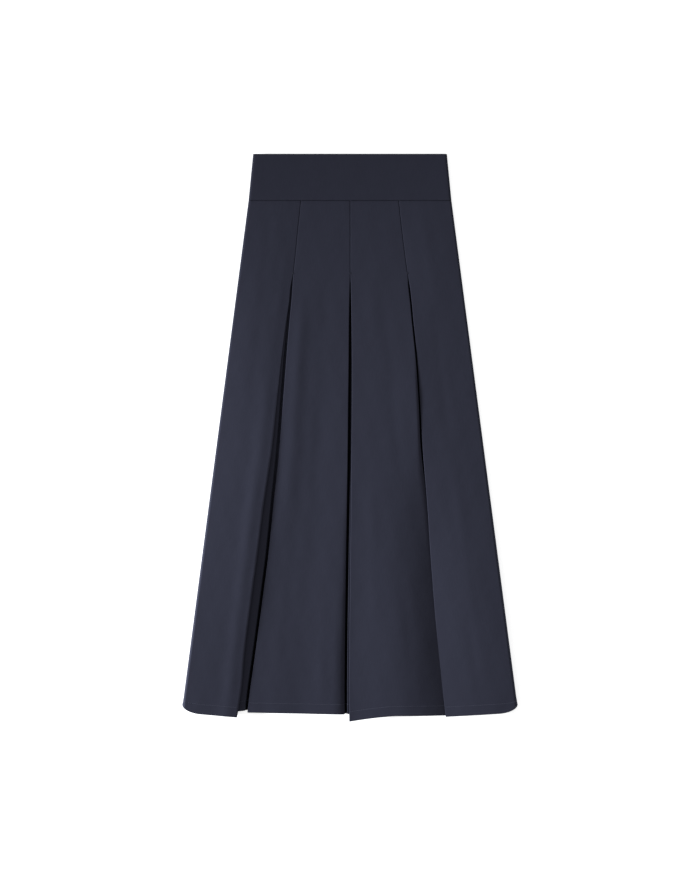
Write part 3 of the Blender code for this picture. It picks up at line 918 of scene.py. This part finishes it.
# %% The three strips
underlays = {}
for pleat in PLEATS:
    x, drop, z, painted_shade = underlay_grid(pleat)
    grids["pleat_underlay_" + pleat + "_cloth"] = (x, drop, z)
    piece = cloth_sheet("pleat_underlay_" + pleat + "_cloth", x, drop, z, painted_shade=painted_shade)
    piece.data.materials.append(PLEAT_TWILL)
    underlays[pleat] = piece
    print("underlay", pleat, x.shape, "highest", round(float(z.max()) / MM, 2), "mm")

# %% [markdown]
# ## The back
# The back is one plain panel, rolled up at both sides to meet the front at the side seams. It rests
# on the floor, so its unevenness only lifts, never sinks, and it fades towards the sides.

# %% Back panel
BACK_APEX = FRONT_APEX - SEAM_GAP
BACK_STEPS = 96
BACK_GROOVE, BACK_GROOVE_REACH = 0.22 * MM, 0.8 * MM  # the line of the hem's stitches
INNER_FADE = 6  # the points over which unevenness fades in beside a rolled end


def flat_section(drop, level, apex, cloth, half, steps):
    """The section of a piece that lies flat and rolls to a side seam at both ends."""
    right = flipped(side_roll(drop[:, :SIDE_COLUMNS], level, apex, -1, cloth, half))
    left = side_roll(drop[:, :SIDE_COLUMNS], level, apex, 1, cloth, half)
    share = np.linspace(0, 1, steps + 1)[1:-1]
    x = right[0][:, -1:] + (left[0][:, :1] - right[0][:, -1:]) * share
    z = np.full(x.shape, level)
    return np.hstack((right[0], x, left[0])), np.hstack((right[1], z, left[1]))


def inner_columns(total):
    """1 over the flat of a section, easing to 0 over its rolled ends."""
    number = np.arange(total)
    return smooth((np.minimum(number, total - 1 - number) - SIDE_COLUMNS) / INNER_FADE)


def back_grid():
    """x, drop and z of every point of the back."""
    total = 2 * SIDE_COLUMNS + BACK_STEPS - 1
    rows, depth = panel_rows(total)
    x, _ = flat_section(rows, BACK_LEVEL, BACK_APEX, CLOTH, half_width, BACK_STEPS)
    corner = corner_rise(np.broadcast_to(x[BODY_COUNT], x.shape), BACK_CORNER)
    drop = follow_hem(rows, np.full(x.shape, BACK_HEM), corner)
    x, z = flat_section(drop, BACK_LEVEL, BACK_APEX, CLOTH, half_width, BACK_STEPS)
    groove = BACK_GROOVE * np.exp(-(((HEM_DROP - TURN_UP - rows) / BACK_GROOVE_REACH) ** 2))
    z = z + (np.maximum(unevenness(-x, drop), 0) + groove) * inner_columns(total)
    x, z = pulled_in(x, z, depth, 1)
    return x, drop, z


x, drop, z = back_grid()
grids["back_panel_cloth"] = (x, drop, z)
back = cloth_sheet("back_panel_cloth", x, drop, z)
back.data.materials.append(FACE_TWILL)
print("back panel", x.shape, "widest", round(float(x.max() - x.min()) / MM, 1), "mm")

# %% [markdown]
# ## The waistband
# The band is a stiffened strip, a little wider below: one layer outside, folded over the top edge,
# and down again inside. Rows run up the outside, round the fold and down the inner layer. Its lower
# edge turns in where it meets the panels.

# %% Waistband, front and back
BAND_CLOTH = 0.8 * MM
BAND_TURN = 0.62 * MM  # the radius of the fold at the top edge, to the middle of the cloth
BAND_FOLD_STEPS = 9
BAND_STEPS = 96
EDGE_TURN, EDGE_TURN_STEPS, EDGE_DEPTH = 0.5 * MM, 5, 0.75 * MM  # the lower edge turns in round this
OUTER_START, OUTER_END, OUTER_ROWS = 1.2 * MM, 4 * MM, 22  # above the lower edge, and below the top
NEAR_TOP_ROWS = (2.6, 1.8)  # in mm below the top edge
INNER_START, INNER_END, INNER_ROWS = 3 * MM, 1 * MM, 10  # below the top, and above the lower edge


def band_half(drop):
    """From the skirt's middle to the side seam, down the waistband."""
    return WAIST_HALF + (SEAM_HALF - WAIST_HALF) * drop / BAND_DEPTH


def band_rows():
    """Drop and inward depth of the rows, from the turned-in lower edge up, over and down inside."""
    low = BAND_DEPTH - SEAM_GAP / 2 - BAND_CLOTH / 2
    rows = [(low, EDGE_DEPTH)]
    for angle in np.linspace(0, math.pi / 2, EDGE_TURN_STEPS):
        rows.append((low - EDGE_TURN * (1 - math.cos(angle)), EDGE_TURN * (1 - math.sin(angle))))
    for drop in np.linspace(low - OUTER_START, OUTER_END, OUTER_ROWS):
        rows.append((drop, 0.0))
    for drop in NEAR_TOP_ROWS:
        rows.append((drop * MM, 0.0))
    for angle in np.linspace(0, math.pi, BAND_FOLD_STEPS):
        over = BAND_TURN + BAND_CLOTH / 2 - BAND_TURN * math.sin(angle)
        rows.append((over, BAND_TURN * (1 - math.cos(angle))))
    for drop in np.linspace(INNER_START, low - INNER_END, INNER_ROWS):
        rows.append((drop, 2 * BAND_TURN))
    return rows


print(len(band_rows()), "rows from the waistband's lower edge, over its top and down inside")

# %% The two halves of the waistband
SOLID_BAND_LEVELS = (1.0 * MM, 5.4 * MM)  # the middles of its two solids, behind and in front
BAND_CALM, BAND_DRAWN_OUT = 0.8, (0.9, 1.3)  # its unevenness is lower, and has waves of other lengths
BAND_RIPPLE, BAND_RIPPLE_REACH = 0.05 * MM, 9 * MM
BAND_RIPPLE_WAVE = (14 * MM, 3, 75)


def band_grid(layer):
    """x, drop and z of every point of the front or the back waistband."""
    total = 2 * SIDE_COLUMNS + BAND_STEPS - 1
    drop, depth = (np.array(part)[:, None] * np.ones(total) for part in zip(*band_rows()))
    middle = sum(SOLID_BAND_LEVELS) / 2
    if layer == "front":
        level, apex, sign = BAND_FRONT_LEVEL, middle + SEAM_GAP / 2, -1
    else:
        level, apex, sign = BAND_BACK_LEVEL, middle - SEAM_GAP / 2, 1
    x, z = flat_section(drop, level, apex, BAND_CLOTH, band_half, BAND_STEPS)
    lift = unevenness(x * BAND_DRAWN_OUT[0], drop * BAND_DRAWN_OUT[1]) * BAND_CALM
    ripple = uneven_wave(x, *BAND_RIPPLE_WAVE)
    lift = lift + BAND_RIPPLE * ripple * np.exp(-(BAND_DEPTH - drop) / BAND_RIPPLE_REACH)
    if layer == "back":
        lift = np.maximum(lift, 0)
    z = z + lift * inner_columns(total)
    x, z = pulled_in(x, z, depth, sign)
    return x, drop, z


bands = {}
for layer in ("front", "back"):
    x, drop, z = band_grid(layer)
    piece = cloth_sheet("waistband_" + layer + "_cloth", x, drop, z, cloth=BAND_CLOTH)
    piece.data.materials.append(BAND_TWILL)
    bands[layer] = piece
    print("waistband", layer, x.shape)

# %% [markdown]
# ## Stitching
# A row of stitches holds each turned-up hem, a finger's width above its edge. The sewing machine pulls
# each one down into the cloth, so only a short raised bead shows, and the beads stand end to end in the
# shallow groove made above. One stitch is a thin tube that rises from the cloth and dips back in. It is
# laid again and again along the line, and each line is one joined mesh. At the foot of every stitched
# pleat a bar tack, a few tight threads across the join, takes the pull when the pleat opens.

# %% Thread
THREAD = 0.16 * MM  # half the thread's thickness
TWIST_PITCH = 0.3 * MM
TWIST_SHARE, FUZZ_SCALE = 0.3, 900.0  # the bands count this much beside the noise of loose fibres
# painted light: the tops of the twist are lighter than its grooves, on top of the fibres' random tone
THREAD_LIGHTER = 1.5  # the tops of the twist beside its grooves


def thread_finish(name, colour):
    """Spun polyester thread: the twist shows as fine slanting bands."""
    material, tree, shader = new_finish(name)
    place = node(tree, "ShaderNodeTexCoord").outputs["Object"]
    split = node(tree, "ShaderNodeSeparateXYZ")
    tree.links.new(place, split.inputs[0])
    slant = maths(tree, "ADD", split.outputs[1], split.outputs[0])
    twist = maths(tree, "SINE", maths(tree, "MULTIPLY", slant, 2 * math.pi / TWIST_PITCH))
    twist = maths(tree, "MULTIPLY_ADD", twist, TWIST_SHARE, noise(tree, place, FUZZ_SCALE))
    feed(tree, shader.inputs["Base Color"], mixed(tree, twist, colour, scaled(colour, THREAD_LIGHTER)))
    feed(tree, shader.inputs["Roughness"], maths(tree, "MULTIPLY_ADD", twist, 0.1, 0.55))
    feed(tree, shader.inputs["Specular IOR Level"], 0.15)
    feed(tree, shader.inputs["Normal"], bumped(tree, twist, 0.4, 0.03 * MM))
    return material


HEM_THREAD = thread_finish("navy_thread_hem", (0.066, 0.071, 0.098, 1.0))
# The tacks' thread is darker than the cloth: painted shade, so that its raised strands don't catch the
# low lamp's light.
TACK_THREAD = thread_finish("navy_thread_tacks", (0.017, 0.018, 0.027, 1.0))
print("made", HEM_THREAD.name, TACK_THREAD.name)

# %% One stitch
BEAD_SIDES = 6
BEAD = (
    # share of a stitch's length, height in threads, and the share of the full thickness there
    (-0.50, -1.2, 0.5),
    (-0.40, 0.1, 1.0),
    (0.00, 0.7, 1.1),
    (0.40, 0.1, 1.0),
    (0.50, -1.2, 0.5),
)
BEAD_REACH = 1.8  # how far a stitch stands out from the cloth, in threads
BEAD_FACES = BEAD_SIDES * (len(BEAD) - 1)


def bead(middle, along, up, length, points, quads):
    """Adds one stitch to the lists."""
    side = np.cross(along, up)
    first = len(points)
    for share, height, thick in BEAD:
        centre = middle + along * share * length + up * height * THREAD
        for step in range(BEAD_SIDES):
            angle = 2 * math.pi * step / BEAD_SIDES
            points.append(centre + THREAD * thick * (side * math.cos(angle) + up * math.sin(angle)))
    for ring in range(len(BEAD) - 1):
        start = first + ring * BEAD_SIDES
        for step in range(BEAD_SIDES):
            low, after = start + step, start + (step + 1) % BEAD_SIDES
            quads.append((low, low + BEAD_SIDES, after + BEAD_SIDES, after))


def joined_threads(name, points, quads, thread):
    """One mesh of all the stitches in the lists."""
    mesh = bpy.data.meshes.new(name)
    mesh.from_pydata([tuple(point) for point in points], [], quads)
    mesh.update()
    mesh.shade_smooth()
    mesh.materials.append(thread)
    piece = bpy.data.objects.new(name, mesh)
    bpy.context.scene.collection.objects.link(piece)
    return piece


print("one stitch has", BEAD_FACES, "faces")

# %% A line of stitches
STITCH_PITCH, STITCH_LENGTH = 2.9 * MM, 2.35 * MM
LINE_START, LINE_END = 0.8, 0.6  # the line stops this many stitches short of its ends
STITCH_LEAN, LEAN_RHYTHM = 0.02, 2.3  # no two stitches lie quite alike
LENGTH_CHANGE, LENGTH_RHYTHM = 0.04, 1.7


def unit(vector):
    return vector / np.linalg.norm(vector)


def hem_line(grid, up_sign, first, last):
    """The line of the hem's stitches on a sheet, lifted to its outer surface."""
    row = int(np.argmin(np.abs(np.array(body_rows()) - (HEM_DROP - TURN_UP))))
    x, drop, z = (part[row, first:last] for part in grid)
    return np.stack((x, TOP_Y - drop, z + up_sign * CLOTH / 2), axis=1)


def stitch_line(name, line, up_sign):
    """Stitches laid along a line of points on the outside of the cloth."""
    run = np.concatenate(([0], np.linalg.norm(np.diff(line, axis=0), axis=1).cumsum()))
    places = np.arange(STITCH_PITCH * LINE_START, run[-1] - STITCH_PITCH * LINE_END, STITCH_PITCH)
    spots, ahead, behind = (
        np.stack([np.interp(places + shift, run, line[:, axis]) for axis in range(3)], axis=1)
        for shift in (0, STITCH_LENGTH / 2, -STITCH_LENGTH / 2))
    points, quads = [], []
    for number, (middle, front, rear) in enumerate(zip(spots, ahead, behind)):
        lean = STITCH_LEAN * math.sin(number * LEAN_RHYTHM)
        along = unit(unit(front - rear) + np.array((0, lean, 0)))
        up = unit(np.cross(np.cross(along, (0, 0, up_sign)), along))
        length = STITCH_LENGTH * (1 + LENGTH_CHANGE * math.sin(number * LENGTH_RHYTHM))
        bead(middle, along, up, length, points, quads)
    return joined_threads(name, points, quads, HEM_THREAD)


print("stitches every", round(STITCH_PITCH / MM, 1), "mm")

# %% The stitches of every hem
ROUND_FOLD = 3  # the stitching goes on round a pleat's fold by this many points
SIDE_POINTS, STRIP_POINTS = 2, 4  # and stops this many short of a side seam, and of a strip's edges
BACK_STITCH_LIFT = 0.02 * MM  # keeps the thread off the floor
threads = {}
for panel in PANELS:
    right, left = PANELS[panel]
    total, _, last = front_columns(panel)
    first = EDGE_COLUMNS - ROUND_FOLD if right in EDGES else SIDE_POINTS
    if left in EDGES:
        last = total - EDGE_COLUMNS + ROUND_FOLD
    line = hem_line(grids[panel + "_cloth"], 1, first, last)
    piece = stitch_line("hem_stitches_" + panel, line, 1)
    threads[panel] = [piece]
    print(piece.name, len(piece.data.polygons) // BEAD_FACES, "stitches")
for pleat in PLEATS:
    line = hem_line(grids["pleat_underlay_" + pleat + "_cloth"], 1, STRIP_POINTS, -STRIP_POINTS)
    threads[pleat] = [stitch_line("hem_stitches_underlay_" + pleat, line, 1)]
line = hem_line(grids["back_panel_cloth"], -1, SIDE_COLUMNS + STRIP_POINTS, -SIDE_COLUMNS - STRIP_POINTS)
line[:, 2] = np.maximum(line[:, 2], BEAD_REACH * THREAD + BACK_STITCH_LIFT)
threads["back"] = [stitch_line("hem_stitches_back_panel", line, -1)]

# %% Bar tacks at the foot of each stitched pleat
TACK_STRANDS, TACK_RISE, TACK_LENGTH = 7, 0.30 * MM, 4.2 * MM
TACK_DROP = RELEASE_DROP - 4 * MM
TACK_SLANT = 0.05  # the strands cross each other a little
for pleat, (first_edge, _) in PLEATS.items():
    centre = float(edge_across(first_edge, TACK_DROP))
    points, quads = [], []
    for strand in range(TACK_STRANDS):
        drop = TACK_DROP + (strand - TACK_STRANDS / 2) * TACK_RISE
        middle = np.array((centre, TOP_Y - drop, FACE_LEVEL + CLOTH / 2))
        along = np.array((1.0, TACK_SLANT * (-1) ** strand, 0.0)) / math.hypot(1.0, TACK_SLANT)
        bead(middle, along, np.array((0.0, 0.0, 1.0)), TACK_LENGTH, points, quads)
    threads["tack_" + pleat] = [joined_threads("release_tack_" + pleat, points, quads, TACK_THREAD)]
print(sum(len(pieces) for pieces in threads.values()), "pieces of stitching")

# %% [markdown]
# ## Handing the pieces to the frame
# Each sheet stands for its solid, which is hidden, and rides on the skirt's one body.

# %% The stitches
for key, pieces in threads.items():
    for piece in pieces:
        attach(piece, "root")

# %% The sheets of cloth
TACKED = {
    # the pleat whose bar tack is sewn to this panel
    "front_panel_right_side": "right",
    "front_panel_left_centre": "centre",
    "front_panel_left_side": "left",
}


def hand_over(piece, solid):
    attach(piece, "root")
    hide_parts(solid)
    print(piece.name, "stands for", solid)


for panel, piece in panels.items():
    trims = list(threads[panel])
    if panel in TACKED:
        trims += threads["tack_" + TACKED[panel]]
    hand_over(piece, panel)
for pleat, piece in underlays.items():
    hand_over(piece, "pleat_underlay_" + pleat)
hand_over(back, "back_panel")
for layer, piece in bands.items():
    hand_over(piece, "waistband_" + layer)

# %% [markdown]
# ## Floor, light and camera
# The floor is plain and pale. One lamp stands low at the skirt's right, so that its light rakes
# across the pleats, and the even light of a pale room fills the shadows. The camera looks straight
# down from over the middle of the skirt.

# %% Floor
FLOOR_HALF, FLOOR_LEVEL = 12.0, -0.0002  # just below the cloth, so that the two never share a plane
FLOOR_GREY, FLOOR_GLOW = 0.92, 0.68  # paper white, with enough glow of its own to read as white
floor_corners = [(x, y, FLOOR_LEVEL) for x, y in ((-FLOOR_HALF, -FLOOR_HALF), (FLOOR_HALF, -FLOOR_HALF),
                                                  (FLOOR_HALF, FLOOR_HALF), (-FLOOR_HALF, FLOOR_HALF))]
floor_mesh = bpy.data.meshes.new("floor")
floor_mesh.from_pydata(floor_corners, [], [(0, 1, 2, 3)])
floor = bpy.data.objects.new("floor", floor_mesh)
bpy.context.scene.collection.objects.link(floor)
paper, paper_tree, paper_shader = new_finish("pale_floor")
feed(paper_tree, paper_shader.inputs["Base Color"], (FLOOR_GREY, FLOOR_GREY, FLOOR_GREY, 1.0))
feed(paper_tree, paper_shader.inputs["Roughness"], 0.9)
feed(paper_tree, paper_shader.inputs["Specular IOR Level"], 0.1)
feed(paper_tree, paper_shader.inputs["Emission Color"], (1.0, 1.0, 1.0, 1.0))
feed(paper_tree, paper_shader.inputs["Emission Strength"], FLOOR_GLOW)
floor_mesh.materials.append(paper)
print("floor", 2 * FLOOR_HALF, "m wide")

# %% Light
ROOM_LIGHT = 0.40
LAMP_COLOUR = (0.955, 1.0, 1.05)  # a cool white
LAMP_AWAY, LAMP_RISE = 7.0, math.radians(13)
LAMP_Y, AIM_Y = -0.35, -0.21  # level with the lower half of the skirt
LAMP_POWER, LAMP_CONE, LAMP_RADIUS = 5500.0, math.radians(17.0), 0.5
room = bpy.data.worlds.new("pale_room")
room.use_nodes = True
room_light = room.node_tree.nodes["Background"]
feed(room.node_tree, room_light.inputs["Color"], (1.0, 1.0, 1.0, 1.0))
feed(room.node_tree, room_light.inputs["Strength"], ROOM_LIGHT)
bpy.context.scene.world = room

lamp_data = bpy.data.lights.new("low_lamp", "SPOT")
lamp_data.energy = LAMP_POWER
lamp_data.color = LAMP_COLOUR
lamp_data.spot_size = LAMP_CONE
lamp_data.spot_blend = 1.0
lamp_data.shadow_soft_size = LAMP_RADIUS
lamp = bpy.data.objects.new("low_lamp", lamp_data)
bpy.context.scene.collection.objects.link(lamp)
lamp_place = np.array((-LAMP_AWAY, LAMP_Y, LAMP_AWAY * math.tan(LAMP_RISE)))
to_x, to_y, to_z = np.array((0.0, AIM_Y, 0.0)) - lamp_place
lamp.location = tuple(lamp_place)
lamp.rotation_euler = (math.atan2(math.hypot(to_x, to_y), -to_z), 0, math.atan2(-to_x, to_y))
print("lamp", round(lamp_place[2], 2), "m above the floor and", LAMP_AWAY, "m away")

# %% Camera
CAMERA_HEIGHT = 3.0
FRAME_HEIGHT = 1.4  # how much of the floor the picture's long side takes in
SENSOR = 36
AIM_BELOW = 0.0003  # below the middle of the skirt
camera_data = bpy.data.cameras.new("camera")
camera_data.sensor_width = SENSOR
camera_data.lens = SENSOR * CAMERA_HEIGHT / FRAME_HEIGHT
camera = bpy.data.objects.new("camera", camera_data)
bpy.context.scene.collection.objects.link(camera)
low, high = (np.array(corner) for corner in cad_box)
camera.location = (0.0, float(low[1] + high[1]) / 2 - AIM_BELOW, CAMERA_HEIGHT)
camera.rotation_euler = (0, 0, 0)
bpy.context.scene.camera = camera
bpy.context.scene.view_settings.view_transform = "Standard"
bpy.context.scene.view_settings.look = "None"
print("camera", CAMERA_HEIGHT, "m up, lens", round(camera_data.lens, 1), "mm")

# %% The end
print("scene built")
